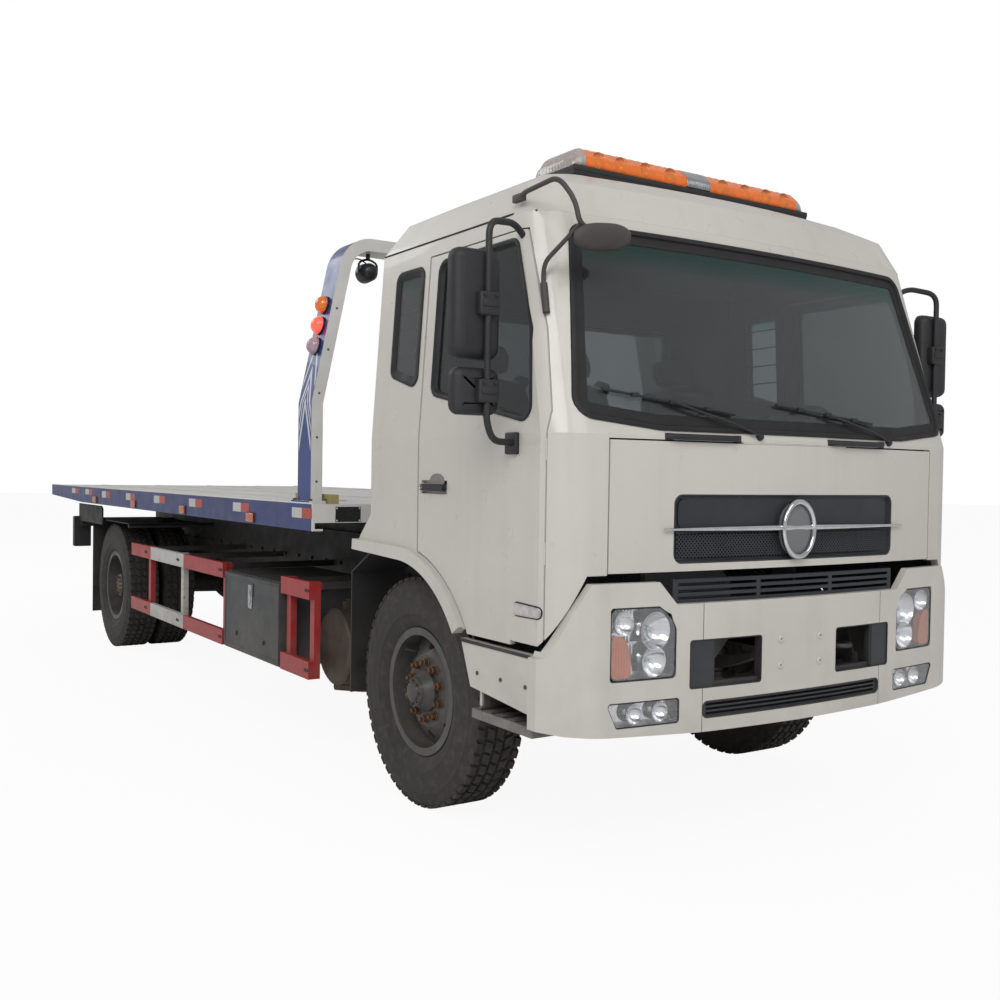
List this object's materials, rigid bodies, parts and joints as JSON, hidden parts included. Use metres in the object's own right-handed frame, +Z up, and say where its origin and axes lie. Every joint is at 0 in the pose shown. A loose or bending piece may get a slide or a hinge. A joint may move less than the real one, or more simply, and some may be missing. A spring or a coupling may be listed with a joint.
{
  "type": "flatbed tow truck",
  "caption": "Cab-over flatbed tow truck: hollow tipping cab with doors, sliding and tilting deck with front portal, side guards, toolbox and twin rear wheels.",
  "frame": {"origin": "on the ground below the middle of the whole truck", "axes": "+Z up, the truck faces -Y, its right side is -X"},
  "size_m": [2.856, 7.93, 2.828],
  "materials": {
    "chassis_black": "satin black paint with road dust",
    "engine_grey": "grey cast iron",
    "spring_steel": "dark oiled steel",
    "cab_white": "gloss off-white paint",
    "lamp_clear": "clear lens over bright reflector",
    "black_plastic": "black moulded plastic",
    "step_grey": "off-white panel and grey tread",
    "exhaust_steel": "heat-stained steel",
    "tank_steel": "brushed tank",
    "box_dark": "dark grey paint",
    "guard_red_white": "red and white paint",
    "lamp_red": "red lens",
    "glass_dark": "tinted safety glass",
    "seat_fabric": "grey seat cloth",
    "dash_plastic": "dark grey plastic",
    "lamp_amber": "amber lens",
    "grille_dark": "dark grey plastic mesh",
    "chrome": "bright chrome",
    "hub_steel": "dark cast steel",
    "wheel_steel": "dark grey painted steel",
    "tyre": "black rubber",
    "rod_chrome": "hard chromed rod",
    "bed_blue": "blue paint, white deck",
    "bar_olive": "olive yellow paint",
    "rope_steel": "wound steel rope"
  },
  "bodies": {
    "chassis": {"frame_rails": "chassis_black", "engine_block": "engine_grey", "driveline": "engine_grey", "front_axle": "chassis_black", "rear_axle": "chassis_black", "leaf_springs": "spring_steel", "bumper": "cab_white", "front_lamps": "lamp_clear", "bumper_grilles": "black_plastic", "side_steps": "step_grey", "mudguards": "black_plastic", "silencer": "exhaust_steel", "fuel_tank": "tank_steel", "toolbox": "box_dark", "side_guards": "guard_red_white", "subframe": "chassis_black", "tail_lamps": "lamp_red"},
    "cab": {"cab_shell": "cab_white", "cab_glass": "glass_dark", "cab_roof": "cab_white", "seats": "seat_fabric", "dashboard": "dash_plastic", "steering_wheel": "black_plastic", "cowl_fittings": "black_plastic", "front_mirror": "black_plastic", "light_bar_base": "black_plastic", "light_bar_lens": "lamp_amber"},
    "door_right": {"door_right": "cab_white", "door_glass_right": "glass_dark", "mirrors_right": "black_plastic"},
    "door_left": {"door_left": "cab_white", "door_glass_left": "glass_dark", "mirrors_left": "black_plastic"},
    "front_panel": {"front_panel": "cab_white", "front_grille": "grille_dark", "grille_bar": "chrome"},
    "knuckle_right": {"knuckle_right": "hub_steel"},
    "knuckle_left": {"knuckle_left": "hub_steel"},
    "wheel_front_right": {"rim_front_right": "wheel_steel", "tyre_front_right": "tyre"},
    "wheel_front_left": {"rim_front_left": "wheel_steel", "tyre_front_left": "tyre"},
    "wheels_rear_right": {"rims_rear_right": "wheel_steel", "tyres_rear_right": "tyre"},
    "wheels_rear_left": {"rims_rear_left": "wheel_steel", "tyres_rear_left": "tyre"},
    "toolbox_door": {"toolbox_door": "box_dark"},
    "tilt_frame": {"tilt_frame": "chassis_black", "slide_rod": "rod_chrome"},
    "bed": {"bed": "bed_blue", "slide_barrel": "chassis_black", "gantry": "bed_blue", "gantry_lamps": "lamp_amber", "winch_frame": "chassis_black", "deck_bars": "bar_olive"},
    "winch_drum": {"winch_drum": "rope_steel"},
    "lift_barrels": {"lift_barrels": "chassis_black"},
    "lift_rods": {"lift_rods": "rod_chrome"}
  },
  "joints": [
    {"name": "cab_tilt", "type": "hinge", "parent": "chassis", "child": "cab", "pos_m": [0, -3.855, 0.7], "axis": [1, 0, 0], "range_deg": [0, 45]},
    {"name": "front_panel_lift", "type": "hinge", "parent": "cab", "child": "front_panel", "pos_m": [0, -3.922, 1.603], "axis": [-1, 0, 0], "range_deg": [0, 75]},
    {"name": "door_right_swing", "type": "hinge", "parent": "cab", "child": "door_right", "pos_m": [-1.1388, -3.787, 1.5], "axis": [0, 0, 1], "range_deg": [0, 65]},
    {"name": "door_left_swing", "type": "hinge", "parent": "cab", "child": "door_left", "pos_m": [1.1388, -3.787, 1.5], "axis": [0, 0, -1], "range_deg": [0, 65]},
    {"name": "steer_right", "type": "hinge", "parent": "chassis", "child": "knuckle_right", "pos_m": [-0.79, -2.735, 0.505], "axis": [0, 0, 1], "range_deg": [-35, 35]},
    {"name": "steer_left", "type": "hinge", "parent": "chassis", "child": "knuckle_left", "pos_m": [0.79, -2.735, 0.505], "axis": [0, 0, 1], "range_deg": [-35, 35]},
    {"name": "wheel_front_right_spin", "type": "hinge", "parent": "knuckle_right", "child": "wheel_front_right", "pos_m": [-0.935, -2.735, 0.505], "axis": [1, 0, 0], "continuous": true},
    {"name": "wheel_front_left_spin", "type": "hinge", "parent": "knuckle_left", "child": "wheel_front_left", "pos_m": [0.935, -2.735, 0.505], "axis": [1, 0, 0], "continuous": true},
    {"name": "wheels_rear_right_spin", "type": "hinge", "parent": "chassis", "child": "wheels_rear_right", "pos_m": [-0.827, 2.265, 0.505], "axis": [1, 0, 0], "continuous": true},
    {"name": "wheels_rear_left_spin", "type": "hinge", "parent": "chassis", "child": "wheels_rear_left", "pos_m": [0.827, 2.265, 0.505], "axis": [1, 0, 0], "continuous": true},
    {"name": "toolbox_door_drop", "type": "hinge", "parent": "chassis", "child": "toolbox_door", "pos_m": [-1.164, -1.035, 0.424], "axis": [0, -1, 0], "range_deg": [0, 90]},
    {"name": "bed_tilt", "type": "hinge", "parent": "chassis", "child": "tilt_frame", "pos_m": [0, 3.295, 1.04], "axis": [-1, 0, 0], "range_deg": [0, 15]},
    {"name": "bed_slide", "type": "slide", "parent": "tilt_frame", "child": "bed", "axis": [0, 1, 0], "range_m": [0, 3.8]},
    {"name": "lift_swing", "type": "hinge", "parent": "chassis", "child": "lift_barrels", "pos_m": [0, 1.065, 0.76], "axis": [1, 0, 0], "range_deg": [0, 19.07]},
    {"name": "lift_extend", "type": "slide", "parent": "lift_barrels", "child": "lift_rods", "axis": [0, 0.9119, 0.4104], "range_m": [0, 0.2752]},
    {"name": "winch_turn", "type": "hinge", "parent": "bed", "child": "winch_drum", "pos_m": [0, -1.555, 1.46], "axis": [1, 0, 0], "continuous": true}
  ],
  "couplings": [
    {"joint": "steer_left", "follows": "steer_right", "ratio": 1},
    {"joint": "lift_swing", "follows": "bed_tilt", "ratio": 1.2514},
    {"joint": "lift_extend", "follows": "bed_tilt", "m_per_rad": 1.0434}
  ]
}
